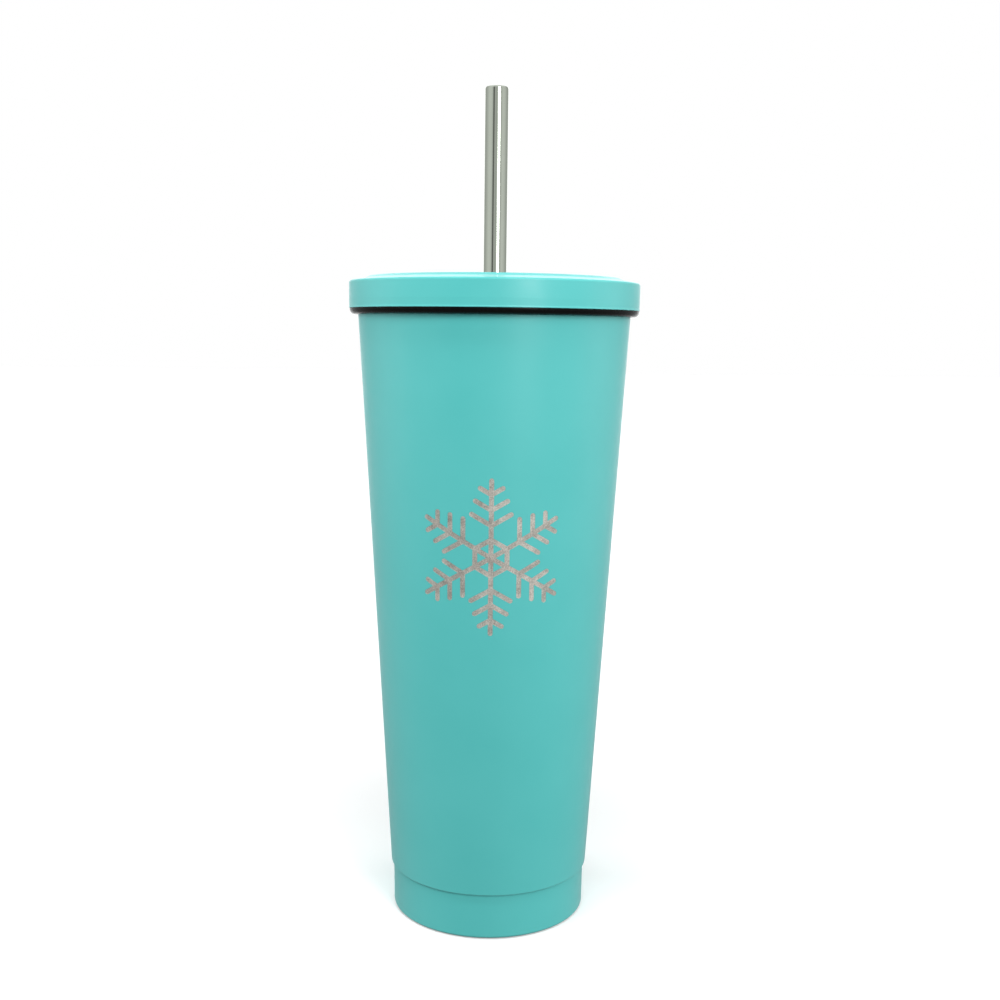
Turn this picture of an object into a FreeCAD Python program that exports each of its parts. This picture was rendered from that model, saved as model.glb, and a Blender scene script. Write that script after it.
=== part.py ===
import FreeCAD, Part
import math
import os
import re

import Sketcher

# An insulated straw tumbler: a double-wall steel cup, a press-in lid and a steel drinking straw.
# Millimetres, +Z up. The origin is the centre of the foot, on the surface that the cup stands on,
# and every round piece shares the Z axis. Heights are above that surface.

SIZES = [
    # name, value, what it is
    ("foot_radius", 34.2, "outer radius of the base cup at the foot"),
    ("band_radius", 34.4, "outer radius of the base cup just under the step"),
    ("foot_edge", 1.0, "rounding of the foot's outer edge"),
    ("foot_width", 3.4, "width of the ring that the cup stands on, with its outer rounding"),
    ("foot_turn", 0.8, "rounding where the foot turns up into the recess"),
    ("base_sheet", 0.6, "sheet thickness of the base cup"),
    ("recess_height", 3.4, "height of the underside of the base cup's floor"),
    ("step_height", 15.9, "height of the outer shell's lower edge"),
    ("band_slope", 0.3, "height of the slope between the band and the lap"),
    ("lap_height", 5.0, "how far the base cup reaches up inside the outer shell"),
    ("shell_low_radius", 35.25, "outer radius of the outer shell at its lower edge"),
    ("shell_edge", 0.35, "rounding of the outer shell's lower edge"),
    ("shell_high", 210.85, "height of the outer shell's upper edge"),
    ("rim_radius", 46.9, "outer radius of the cup at its rim"),
    ("rim_height", 211.0, "height of the top of the rim"),
    ("sheet", 0.5, "sheet thickness of the outer shell and of the liner"),
    ("lip_width", 2.0, "width of the rolled lip"),
    ("lip_tail", 1.5, "how far the lip's outer leg reaches down inside the outer shell"),
    ("lip_flat", 0.02, "half the width of the flat left on top of the lip"),
    ("vacuum_gap", 3.2, "space between the outer shell and the liner"),
    ("neck_low", 206.0, "height where the liner starts to widen towards the lip"),
    ("neck_high", 208.6, "height where the liner has reached the lip"),
    ("neck_round", 2.0, "rounding of the two bends of the liner's neck"),
    ("liner_floor", 14.0, "height of the liner's inner floor"),
    ("liner_corner", 2.0, "inner rounding between the liner's floor and its wall"),
    ("liner_turn", 3.0, "how far the wall's lower end is turned in, as far as the floor's weld"),
    ("foil", 0.15, "thickness of the copper foil"),
    ("foil_margin", 5.0, "distance of the foil's ends from the step and from the neck"),
    ("dimple_radius", 5.0, "radius of the dimple around the exhaust hole"),
    ("dimple_flat", 2.6, "radius of the flat bottom of the dimple"),
    ("dimple_depth", 1.3, "how far the dimple rises above the base cup's floor"),
    ("exhaust_radius", 0.8, "radius of the exhaust hole"),
    ("solder_margin", 0.3, "distance of the glass solder bead from the edge of the dimple's flat"),
    ("solder_side", 0.6, "height of the bead at its edge"),
    ("solder_edge", 0.4, "rounding of the bead's edge"),
    ("solder_height", 1.0, "height of the bead in its middle"),
    ("plate_gap", 0.5, "play around the base plate in the foot's recess"),
    ("plate_sheet", 0.5, "thickness of the base plate"),
    ("plate_height", 1.0, "height of the base plate's underside"),
    ("plate_rib_radius", 22.0, "radius of the stiffening ring pressed into the base plate"),
    ("plate_rib_width", 1.6, "width of that ring"),
    ("plate_rib_rise", 0.5, "rise of that ring"),
    ("getter_offset", 13.0, "distance of the getter from the axis"),
    ("getter_radius", 4.0, "radius of the getter pill"),
    ("getter_height", 2.0, "height of the getter pill"),
    ("holder_sheet", 0.3, "sheet thickness of the getter holder"),
    ("holder_length", 18.0, "length of the getter holder's strap, from foot to foot"),
    ("holder_width", 5.0, "width of the getter holder's strap"),
    ("holder_foot", 3.6, "length of each spot-welded foot of the holder"),
    ("lid_radius", 50.0, "outer radius of the lid"),
    ("lid_seat", 211.2, "height of the flange's underside, just clear of the rim"),
    ("skirt_low", 213.2, "height of the cover's lower edge, on top of the flange"),
    ("skirt_high", 222.35, "height where the cover's side would meet its shoulder"),
    ("skirt_edge", 1.1, "rounding between the cover's side and its shoulder"),
    ("skirt_lip", 0.18, "rounding of the cover's lower edge"),
    ("shoulder_radius", 44.7, "radius where the shoulder meets the raised panel"),
    ("shoulder_height", 223.3, "height of the shoulder there"),
    ("panel_radius", 43.3, "radius of the raised panel"),
    ("panel_height", 224.07, "height of the raised panel at its edge"),
    ("panel_edge", 0.8, "rounding of the raised panel's edge"),
    ("crown_height", 224.4, "height of the raised panel at the straw's hole"),
    ("cover_sheet", 0.6, "sheet thickness of the cover"),
    ("cover_inset", 0.2, "how much nearer the axis the inner corners of the cover's top are"),
    ("flange_inset", 0.2, "how far the flange's edge stands inside the cover's side"),
    ("flange_edge", 1.7, "rounding of the flange's lower outer edge"),
    ("flange_drop", 0.4, "how far the flange's rim reaches down round the outside of the cup"),
    ("flange_play", 0.3, "space between the flange's rim and the cup"),
    ("plug_radius", 41.2, "outer radius of the lid's plug"),
    ("plug_low", 196.0, "height of the plug's underside"),
    ("plug_wall", 4.0, "wall thickness of the plug"),
    ("plug_floor", 2.0, "thickness of the plug's floor"),
    ("plug_edge", 1.6, "rounding of the plug's lower outer edge"),
    ("stand_width", 2.2, "width of the ring that carries the cover"),
    ("stand_high", 221.2, "height of that ring"),
    ("groove_low", 199.4, "height of the lower side of the gasket's groove"),
    ("groove_width", 6.0, "width of the gasket's groove"),
    ("groove_depth", 2.0, "depth of the gasket's groove"),
    ("gasket_play", 0.12, "space between the gasket's fins and the liner"),
    ("fin_root", 0.25, "how far the gasket's body stands out of its groove"),
    ("fin_thickness", 1.0, "thickness of a gasket fin at its root"),
    ("fin_back", 0.2, "how much thicker a fin is at its root, on its upper side"),
    ("fin_tip", 0.22, "rounding of a fin's tip"),
    ("boss_radius", 9.0, "outer radius of the boss around the straw"),
    ("boss_play", 0.05, "space between the boss and the cover"),
    ("sleeve_radius", 6.5, "outer radius of the grommet's sleeve, and of the hole for it"),
    ("sleeve_low", 210.0, "height of the grommet's lower end"),
    ("boss_bore", 5.2, "radius of the boss's bore below the grommet"),
    ("grommet_radius", 9.2, "radius of the grommet's collar"),
    ("collar_height", 1.1, "height of the grommet's collar above the cover"),
    ("collar_edge", 0.45, "rounding of the collar"),
    ("grommet_funnel", 0.8, "size of the funnel at each end of the grommet's hole"),
    ("straw_radius", 4.0, "outer radius of the straw"),
    ("straw_wall", 0.5, "wall thickness of the straw"),
    ("straw_fit", 0.05, "running fit between the straw and the grommet"),
    ("straw_high", 287.8, "height of the straw's upper end"),
    ("straw_length", 266.7, "length of the straw"),
    ("straw_edge", 0.2, "rounding of the straw's ends"),
    ("ring_radius", 6.4, "outer radius of the straw's stop ring"),
    ("ring_height", 4.0, "height of the stop ring"),
    ("ring_drop", 15.0, "distance from the plug's underside down to the stop ring"),
    ("ring_edge", 0.8, "rounding of the stop ring"),
]
GASKET_FINS = 3
FULL_TURN = 360.0


def make_sheet(doc):
    """The driving dimensions, one row each: name, value, meaning."""
    sheet = doc.addObject("Spreadsheet::Sheet", "Sizes")
    for row, (name, value, meaning) in enumerate(SIZES, start=1):
        sheet.set(f"A{row}", name)
        sheet.set(f"B{row}", str(value))
        sheet.set(f"C{row}", meaning)
        sheet.setAlias(f"B{row}", name)
    doc.recompute()
    return sheet


def bound(text):
    """A formula in the sheet's names, as an expression that another object can hold."""
    names = {name for name, _, _ in SIZES}
    return re.sub(r"[a-z_]+", lambda word: f"Sizes.{word[0]}" if word[0] in names else word[0], text)


def shell_at(height):
    """Formula for the outer shell's outer radius at a height."""
    taper = "(rim_radius - shell_low_radius) / (rim_height - step_height)"
    return f"(shell_low_radius + {taper} * ({height} - step_height))"


def liner_at(height):
    """Formula for the liner's inner radius at a height below the neck."""
    return f"({shell_at(height)} - 2 * sheet - vacuum_gap)"


class Piece:
    """One sub-part: a PartDesign body whose label is the name of its node."""

    def __init__(self, doc, label):
        self.doc = doc
        self.body = doc.addObject("PartDesign::Body", label)
        self.body.Label = label
        self.body.Placement = FreeCAD.Placement()

    def sketch(self, name, role):
        """An empty sketch on one of the body's own origin planes."""
        planes = [item for item in self.body.Origin.OriginFeatures if item.Role == role]
        sketch = self.body.newObject("Sketcher::SketchObject", name)
        sketch.AttachmentSupport = [(planes[0], "")]
        sketch.MapMode = "FlatFace"
        return sketch

    def outline(self, name, corners, role="XZ_Plane"):
        """A closed outline through corners of (across, up) or (across, up, rounding) formulas."""
        sketch = self.sketch(name, role)
        self.doc.recompute()
        points = [measured(sketch, corner) for corner in corners]
        runs = []
        for index, corner in enumerate(corners):
            start = leaving(points, index)
            end = arriving(points, (index + 1) % len(points))
            runs.append(sketch.addGeometry(Part.LineSegment(start, end), False))
        for index, corner in enumerate(corners):
            before, after = runs[index - 1], runs[index]
            if len(corner) == 2:
                sketch.addConstraint(Sketcher.Constraint("Coincident", before, 2, after, 1))
                pin(sketch, after, corner, points[index])
            else:
                round_corner(sketch, before, after, corner, points, index)
        return sketch

    def turned(self, corners, name="profile"):
        """Adds a full revolution of an outline about the Z axis."""
        profile = self.outline(name, corners)
        turn = self.body.newObject("PartDesign::Revolution", name + "_turn")
        turn.Profile = profile
        turn.ReferenceAxis = (profile, ["V_Axis"])
        turn.Angle = FULL_TURN
        self.doc.recompute()
        return turn


def measured(sketch, corner):
    """The corner's place in the sketch and its rounding, as numbers."""
    across, up = (float(sketch.evalExpression(bound(text))) for text in corner[:2])
    rounding = float(sketch.evalExpression(bound(corner[2]))) if len(corner) == 3 else 0.0
    return FreeCAD.Vector(across, up, 0), rounding


def tangent_length(points, index):
    """How much of each neighbouring run a rounded corner takes."""
    here, rounding = points[index]
    back = points[index - 1][0] - here
    ahead = points[(index + 1) % len(points)][0] - here
    return rounding / math.tan(back.getAngle(ahead) / 2)


def leaving(points, index):
    """Where the run after a corner starts."""
    here = points[index][0]
    ahead = points[(index + 1) % len(points)][0] - here
    return here + ahead.normalize() * tangent_length(points, index)


def arriving(points, index):
    """Where the run before a corner ends."""
    here = points[index][0]
    back = points[index - 1][0] - here
    return here + back.normalize() * tangent_length(points, index)


def pin(sketch, geometry, corner, point):
    """Holds the start of a line, or a point, at the place that the corner's formulas give."""
    across, up = point[0].x, point[0].y
    for kind, value, text, axis in (("DistanceX", across, corner[0], -2), ("DistanceY", up, corner[1], -1)):
        if abs(value) < 1e-9:
            sketch.addConstraint(Sketcher.Constraint("PointOnObject", geometry, 1, axis))
        else:
            number = sketch.addConstraint(Sketcher.Constraint(kind, -1, 1, geometry, 1, value))
            sketch.setExpression(f"Constraints[{number}]", bound(text))


def round_corner(sketch, before, after, corner, points, index):
    """Joins two runs by an arc that touches both, around a fixed corner point."""
    here, rounding = points[index]
    start, end = arriving(points, index), leaving(points, index)
    back = (points[index - 1][0] - here).normalize()
    ahead = (points[(index + 1) % len(points)][0] - here).normalize()
    middle = (back + ahead).normalize()
    reach = rounding / math.sin(back.getAngle(ahead) / 2)
    centre = here + middle * reach
    arc = Part.Arc(start, centre - middle * rounding, end)
    curve = sketch.addGeometry(arc, False)
    forward = (start - centre).cross(end - centre).z > 0
    first, last = (1, 2) if forward else (2, 1)
    mark = sketch.addGeometry(Part.Point(here), True)
    pin(sketch, mark, corner, points[index])
    sketch.addConstraint(Sketcher.Constraint("PointOnObject", mark, 1, before))
    sketch.addConstraint(Sketcher.Constraint("PointOnObject", mark, 1, after))
    sketch.addConstraint(Sketcher.Constraint("Tangent", before, 2, curve, first))
    sketch.addConstraint(Sketcher.Constraint("Tangent", curve, last, after, 1))
    number = sketch.addConstraint(Sketcher.Constraint("Radius", curve, rounding))
    sketch.setExpression(f"Constraints[{number}]", bound(corner[2]))


def make_outer_shell(doc):
    """Painted outer wall: a straight cone, open at both ends, its lower edge standing proud."""
    piece = Piece(doc, "outer_shell")
    piece.turned([
        (shell_at("step_height"), "step_height", "shell_edge"),
        (shell_at("shell_high"), "shell_high"),
        (f"{shell_at('shell_high')} - sheet", "shell_high"),
        (f"{shell_at('step_height')} - sheet", "step_height"),
    ])
    return piece


def make_base_cup(doc):
    """Painted pressed bottom: foot ring, recessed floor with a dimple, wall welded inside the shell."""
    piece = Piece(doc, "base_cup")
    inner_foot = "foot_radius - foot_width"
    top = "(step_height + lap_height)"
    lap = f"{shell_at('step_height')} - sheet"
    lap_top = f"{shell_at(top)} - sheet"
    floor_top = "recess_height + base_sheet"
    piece.turned([
        ("foot_radius", "0", "foot_edge"),
        ("band_radius", "step_height - band_slope"),
        (lap, "step_height"),
        (lap_top, top),
        (f"{lap_top} - base_sheet", top),
        ("foot_radius - base_sheet", "base_sheet", "foot_edge - base_sheet"),
        (f"{inner_foot} + base_sheet", "base_sheet", "foot_turn - base_sheet / 2"),
        (f"{inner_foot} + base_sheet", floor_top, "foot_turn"),
        ("dimple_radius", floor_top),
        ("dimple_flat", f"{floor_top} + dimple_depth"),
        ("exhaust_radius", f"{floor_top} + dimple_depth"),
        ("exhaust_radius", "recess_height + dimple_depth"),
        ("dimple_flat", "recess_height + dimple_depth"),
        ("dimple_radius", "recess_height"),
        (inner_foot, "recess_height", "foot_turn - base_sheet / 2"),
        (inner_foot, "0", "foot_turn"),
    ])
    return piece


def make_vacuum_seal(doc):
    """Glass solder that closes the exhaust hole from below, with a short plug inside the hole."""
    piece = Piece(doc, "vacuum_seal")
    seat = "recess_height + dimple_depth"
    piece.turned([
        ("0", f"{seat} + base_sheet"),
        ("exhaust_radius", f"{seat} + base_sheet"),
        ("exhaust_radius", seat),
        ("dimple_flat - solder_margin", seat),
        ("dimple_flat - 2 * solder_margin", f"{seat} - solder_side", "solder_edge"),
        ("0", f"{seat} - solder_height"),
    ])
    return piece


def make_base_plate(doc):
    """Bare steel disc in the foot's recess, with a stiffening ring, that hides the exhaust dimple."""
    piece = Piece(doc, "base_plate")
    edge = "foot_radius - foot_width - plate_gap"
    low, high = "plate_height", "(plate_height + plate_sheet)"
    rib_in, rib_out = "(plate_rib_radius - plate_rib_width / 2)", "(plate_rib_radius + plate_rib_width / 2)"
    piece.turned([
        ("0", low),
        (f"{rib_in} - plate_rib_rise", low),
        (rib_in, f"{low} + plate_rib_rise"),
        (rib_out, f"{low} + plate_rib_rise"),
        (f"{rib_out} + plate_rib_rise", low),
        (edge, low),
        (edge, "recess_height"),
        (f"{edge} - plate_sheet", "recess_height"),
        (f"{edge} - plate_sheet", high),
        (f"{rib_out} + plate_rib_rise", high),
        (rib_out, f"{high} + plate_rib_rise"),
        (rib_in, f"{high} + plate_rib_rise"),
        (f"{rib_in} - plate_rib_rise", high),
        ("0", high),
    ])
    return piece


def make_liner_wall(doc):
    """Inner wall: a cone, turned in at the floor, that widens at the neck and rolls over into the shell."""
    piece = Piece(doc, "liner_wall")
    foot = liner_at("liner_floor")
    lip_low = "(rim_height - lip_width / 2)"
    tail_low = f"({lip_low} - lip_tail)"
    lip_out, tail_out = f"({shell_at(lip_low)} - sheet)", f"({shell_at(tail_low)} - sheet)"
    lip_in = f"({lip_out} - lip_width)"
    piece.turned([
        (f"{foot} - liner_turn", "liner_floor"),
        (foot, "liner_floor", "liner_corner"),
        (liner_at("neck_low"), "neck_low", "neck_round"),
        (lip_in, "neck_high", "neck_round - sheet"),
        (lip_in, "rim_height", "lip_width / 2 - lip_flat"),
        (lip_out, "rim_height", "lip_width / 2 - lip_flat"),
        (lip_out, lip_low),
        (tail_out, tail_low),
        (f"{tail_out} - sheet", tail_low),
        (f"{lip_out} - sheet", lip_low),
        (f"{lip_out} - sheet", "rim_height - sheet", "lip_width / 2 - sheet - lip_flat"),
        (f"{lip_in} + sheet", "rim_height - sheet", "lip_width / 2 - sheet - lip_flat"),
        (f"{lip_in} + sheet", "neck_high", "neck_round"),
        (f"{liner_at('neck_low')} + sheet", "neck_low", "neck_round - sheet"),
        (f"{liner_at('(liner_floor - sheet)')} + sheet", "liner_floor - sheet", "liner_corner + sheet"),
        (f"{foot} - liner_turn", "liner_floor - sheet"),
    ])
    return piece


def make_liner_bottom(doc):
    """Flat inner floor, butt-welded to the turned-in end of the liner's wall."""
    piece = Piece(doc, "liner_bottom")
    edge = f"({liner_at('liner_floor')} - liner_turn)"
    piece.turned([
        ("0", "liner_floor - sheet"),
        (edge, "liner_floor - sheet"),
        (edge, "liner_floor"),
        ("0", "liner_floor"),
    ])
    return piece


def make_copper_foil(doc):
    """Radiation shield wrapped round the liner inside the vacuum."""
    piece = Piece(doc, "copper_foil")
    low, high = "(step_height + foil_margin)", "(neck_low - foil_margin)"
    piece.turned([
        (f"{liner_at(low)} + sheet", low),
        (f"{liner_at(low)} + sheet + foil", low),
        (f"{liner_at(high)} + sheet + foil", high),
        (f"{liner_at(high)} + sheet", high),
    ])
    return piece


def make_getter_pill(doc):
    """Sintered getter that keeps the vacuum clean, under the liner's floor."""
    piece = Piece(doc, "getter_pill")
    pill = piece.sketch("pill", "XY_Plane")
    doc.recompute()
    offset = float(pill.evalExpression(bound("getter_offset")))
    radius = float(pill.evalExpression(bound("getter_radius")))
    ring = Part.Circle(FreeCAD.Vector(offset, 0, 0), FreeCAD.Vector(0, 0, 1), radius)
    circle = pill.addGeometry(ring, False)
    pill.addConstraint(Sketcher.Constraint("PointOnObject", circle, 3, -1))
    across = pill.addConstraint(Sketcher.Constraint("DistanceX", -1, 1, circle, 3, offset))
    size = pill.addConstraint(Sketcher.Constraint("Radius", circle, radius))
    pill.setExpression(f"Constraints[{across}]", bound("getter_offset"))
    pill.setExpression(f"Constraints[{size}]", bound("getter_radius"))
    pill.setExpression(".AttachmentOffset.Base.z", bound("liner_floor - sheet - getter_height"))
    pad = piece.body.newObject("PartDesign::Pad", "pill_pad")
    pad.Profile = pill
    pad.setExpression("Length", bound("getter_height"))
    doc.recompute()
    return piece


def make_getter_holder(doc):
    """Strap that holds the getter, its two feet spot-welded to the underside of the liner's floor."""
    piece = Piece(doc, "getter_holder")
    roof = "(liner_floor - sheet)"
    under = f"({roof} - getter_height)"
    first = "(getter_offset - holder_length / 2)"
    last = "(getter_offset + holder_length / 2)"
    strap = piece.outline("strap", [
        (first, roof),
        (first, f"{roof} - holder_sheet"),
        (f"{first} + holder_foot", f"{roof} - holder_sheet"),
        (f"{first} + holder_foot", f"{under} - holder_sheet"),
        (f"{last} - holder_foot", f"{under} - holder_sheet"),
        (f"{last} - holder_foot", f"{roof} - holder_sheet"),
        (last, f"{roof} - holder_sheet"),
        (last, roof),
        (f"{last} - holder_foot - holder_sheet", roof),
        (f"{last} - holder_foot - holder_sheet", under),
        (f"{first} + holder_foot + holder_sheet", under),
        (f"{first} + holder_foot + holder_sheet", roof),
    ])
    pad = piece.body.newObject("PartDesign::Pad", "strap_pad")
    pad.Profile = strap
    pad.Midplane = True
    pad.setExpression("Length", bound("holder_width"))
    doc.recompute()
    return piece


def make_lid_body(doc):
    """Black moulded inner lid: flange on and round the rim, hollow plug in the mouth, boss for the straw."""
    piece = Piece(doc, "lid_body")
    groove_in = "plug_radius - groove_depth"
    groove_high = "groove_low + groove_width"
    stand_out = "lid_radius - cover_sheet"
    floor_top = "plug_low + plug_floor"
    boss_high = "crown_height - cover_sheet - boss_play"
    flange_out, flange_in = "(lid_radius - flange_inset)", "(rim_radius + flange_play)"
    piece.turned([
        ("boss_bore", "plug_low"),
        ("plug_radius", "plug_low", "plug_edge"),
        ("plug_radius", "groove_low"),
        (groove_in, "groove_low"),
        (groove_in, groove_high),
        ("plug_radius", groove_high),
        ("plug_radius", "lid_seat"),
        (flange_in, "lid_seat"),
        (flange_in, "lid_seat - flange_drop"),
        (flange_out, "lid_seat - flange_drop", "flange_edge"),
        (flange_out, "skirt_low"),
        (stand_out, "skirt_low"),
        (stand_out, "stand_high"),
        (f"{stand_out} - stand_width", "stand_high"),
        (f"{stand_out} - stand_width", "skirt_low"),
        ("plug_radius - plug_wall", "skirt_low"),
        ("plug_radius - plug_wall", floor_top),
        ("boss_radius", floor_top),
        ("boss_radius", boss_high),
        ("sleeve_radius", boss_high),
        ("sleeve_radius", "sleeve_low"),
        ("boss_bore", "sleeve_low"),
    ])
    return piece


def make_lid_cover(doc):
    """Painted steel cap over the inner lid: skirt, shoulder, raised panel and the straw's hole."""
    piece = Piece(doc, "lid_cover")
    piece.turned([
        ("lid_radius", "skirt_low", "skirt_lip"),
        ("lid_radius", "skirt_high", "skirt_edge"),
        ("shoulder_radius", "shoulder_height", "panel_edge"),
        ("panel_radius", "panel_height", "panel_edge"),
        ("sleeve_radius", "crown_height"),
        ("sleeve_radius", "crown_height - cover_sheet"),
        ("panel_radius - cover_inset", "panel_height - cover_sheet"),
        ("shoulder_radius - cover_inset", "shoulder_height - cover_sheet"),
        ("lid_radius - cover_sheet", "skirt_high - cover_sheet", "skirt_edge - cover_sheet"),
        ("lid_radius - cover_sheet", "skirt_low"),
    ])
    return piece


def make_lid_gasket(doc):
    """Silicone ring in the plug's groove, with fins that follow the liner's taper."""
    piece = Piece(doc, "lid_gasket")
    root = "(plug_radius + fin_root)"
    pitch = f"(groove_width / {GASKET_FINS})"
    corners = [("plug_radius - groove_depth", "groove_low"), (root, "groove_low")]
    for fin in range(GASKET_FINS):
        middle = f"(groove_low + {pitch} * {fin + 0.5})"
        if fin:
            corners.append((root, f"{middle} - fin_thickness / 2"))
        corners.append((f"{liner_at(middle)} - gasket_play", f"{middle} + fin_thickness / 2", "fin_tip"))
        corners.append((root, f"{middle} + fin_thickness / 2 + fin_back"))
    corners.append((root, "groove_low + groove_width"))
    corners.append(("plug_radius - groove_depth", "groove_low + groove_width"))
    piece.turned(corners)
    return piece


def make_straw_grommet(doc):
    """Silicone sleeve with a collar that grips the straw in the middle of the lid."""
    piece = Piece(doc, "straw_grommet")
    hole = "(straw_radius + straw_fit)"
    top = "(crown_height + collar_height)"
    piece.turned([
        (f"{hole} + grommet_funnel", "sleeve_low"),
        ("sleeve_radius", "sleeve_low"),
        ("sleeve_radius", "crown_height"),
        ("grommet_radius", "crown_height"),
        ("grommet_radius", top, "collar_edge"),
        (f"{hole} + grommet_funnel", top, "collar_edge / 2"),
        (hole, f"{top} - grommet_funnel"),
        (hole, "sleeve_low + grommet_funnel"),
    ])
    return piece


def make_straw(doc):
    """Straight steel tube with rounded ends."""
    piece = Piece(doc, "straw")
    bore = "straw_radius - straw_wall"
    low = "straw_high - straw_length"
    piece.turned([
        (bore, low, "straw_edge"),
        ("straw_radius", low, "straw_edge"),
        ("straw_radius", "straw_high", "straw_edge"),
        (bore, "straw_high", "straw_edge"),
    ])
    return piece


def make_straw_stop_ring(doc):
    """Silicone ring on the straw that meets the plug's underside when the straw is pulled up."""
    piece = Piece(doc, "straw_stop_ring")
    high = "(plug_low - ring_drop)"
    piece.turned([
        ("straw_radius", f"{high} - ring_height"),
        ("ring_radius", f"{high} - ring_height", "ring_edge"),
        ("ring_radius", high, "ring_edge"),
        ("straw_radius", high),
    ])
    return piece


def check(doc, pieces):
    """Stops unless every object computed and every piece is one valid, closed solid."""
    broken = [item.Label for item in doc.Objects if {"Invalid", "Error"} & set(item.State)]
    if broken:
        raise RuntimeError("not computed: " + ", ".join(broken))
    for piece in pieces:
        shape = piece.body.Shape
        if shape.isNull() or not shape.isValid() or len(shape.Solids) != 1:
            raise RuntimeError("bad shape: " + piece.body.Label)


def main():
    doc = FreeCAD.newDocument("straw_tumbler")
    make_sheet(doc)
    makers = [
        make_outer_shell, make_base_cup, make_vacuum_seal, make_base_plate,
        make_liner_wall, make_liner_bottom, make_copper_foil, make_getter_pill, make_getter_holder,
        make_lid_body, make_lid_cover, make_lid_gasket, make_straw_grommet,
        make_straw, make_straw_stop_ring,
    ]
    pieces = [maker(doc) for maker in makers]
    doc.recompute()
    check(doc, pieces)
    os.makedirs("parts", exist_ok=True)
    for piece in pieces:
        shape, box = piece.body.Shape, piece.body.Shape.BoundBox
        print(f"{piece.body.Label}: {shape.Volume:.0f} mm3, z {box.ZMin:.2f} to {box.ZMax:.2f}")
        shape.exportStep(f"parts/{piece.body.Label}.step")


main()
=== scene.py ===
import math

import bpy
from mathutils import Matrix, Vector
from mathutils.geometry import delaunay_2d_cdt


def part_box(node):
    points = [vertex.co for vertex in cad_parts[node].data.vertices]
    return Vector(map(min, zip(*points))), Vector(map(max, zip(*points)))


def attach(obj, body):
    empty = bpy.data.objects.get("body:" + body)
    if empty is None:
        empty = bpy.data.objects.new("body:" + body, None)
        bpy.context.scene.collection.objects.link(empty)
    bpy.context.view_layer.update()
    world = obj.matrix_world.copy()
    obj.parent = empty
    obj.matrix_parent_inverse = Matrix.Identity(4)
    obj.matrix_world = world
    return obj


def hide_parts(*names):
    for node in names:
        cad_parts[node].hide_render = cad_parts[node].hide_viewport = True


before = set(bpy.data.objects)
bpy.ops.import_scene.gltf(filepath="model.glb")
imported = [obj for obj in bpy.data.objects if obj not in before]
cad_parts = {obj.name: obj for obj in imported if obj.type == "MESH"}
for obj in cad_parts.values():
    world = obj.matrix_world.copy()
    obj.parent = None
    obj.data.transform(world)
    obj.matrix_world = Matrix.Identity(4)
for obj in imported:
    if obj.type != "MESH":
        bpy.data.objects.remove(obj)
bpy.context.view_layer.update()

# An insulated straw tumbler. Every piece made here is turned about the Z axis, so each is an
# outline of (radius, height) corners in millimetres, spun into a fine mesh. A corner's third number
# is its rounding. Heights and radii start from the CAD boxes. The shell's front also has a mark
# sunk into it. The four pieces sealed inside the walls and foot keep their CAD shape.

MM = 0.001
TURN = 2 * math.pi
SPIN_STEPS = 240
ARC_STEP = math.radians(12)
ARC_STEPS_LEAST = 4
TINY = 1e-6
KEY_DIGITS = 5


# ---------------------------------------------------------------- places from the frame

def low(node):
    """Height of a node's lowest point."""
    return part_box(node)[0].z / MM


def high(node):
    """Height of a node's highest point."""
    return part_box(node)[1].z / MM


def reach(node):
    """Largest radius of a node."""
    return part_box(node)[1].x / MM


# Sheets, gaps and edges that the boxes don't show, in millimetres.
SHEET = 0.5
COVER_SHEET = 0.6
BASE_SHEET = 0.6
STRAW_SHEET = 0.5
LIP_WIDTH, LIP_TAIL = 2.0, 1.5
VACUUM_GAP = 3.2
NECK_LOW, NECK_HIGH = 206.0, 208.6
FOOT_RADIUS, BAND_RADIUS, FOOT_WIDTH = 34.2, 34.4, 3.4
FLANGE_IN, FLANGE_DEPTH = 47.2, 2.0
COAT_OVER_RIM, FLANGE_GAP = 0.13, 0.02
WELD_DEPTH, WELD_FLAT, WELD_WIDTH = 0.06, 0.1, 0.25
SLEEVE_RADIUS = 6.5

# Edges that come from the boxes.
RECESS = high("base_plate")
STEP, SHELL_TOP = low("outer_shell"), high("outer_shell")
RIM, LINER_FLOOR = high("liner_wall"), high("liner_bottom")
SHELL_TOP_RADIUS = reach("outer_shell")
LAP_TOP = high("base_cup")
SHELL_SLOPE = (SHELL_TOP_RADIUS - reach("base_cup") - SHEET) / (SHELL_TOP - LAP_TOP)
LID_RADIUS, SKIRT_LOW, CROWN = reach("lid_cover"), low("lid_cover"), high("lid_cover")
PLUG_LOW, BOSS_TOP = low("lid_body"), high("lid_body")
LID_SEAT = SKIRT_LOW - FLANGE_DEPTH
FLANGE_RADIUS, COAT_TOP = reach("lid_body"), RIM + COAT_OVER_RIM
STRAW_RADIUS, STRAW_BORE = reach("straw"), reach("straw") - STRAW_SHEET


def shell_at(height):
    """Outer radius of the outer shell."""
    return SHELL_TOP_RADIUS + SHELL_SLOPE * (height - SHELL_TOP)


def liner_at(height):
    """Inner radius of the liner, below its neck."""
    return shell_at(height) - 2 * SHEET - VACUUM_GAP


# ---------------------------------------------------------------- outlines

class Run:
    """A stretch of an outline from a to b, with the outward normal at each end."""

    def __init__(self, a, b, normal_a, normal_b):
        self.a, self.b = a, b
        self.normal_a, self.normal_b = normal_a, normal_b


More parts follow.
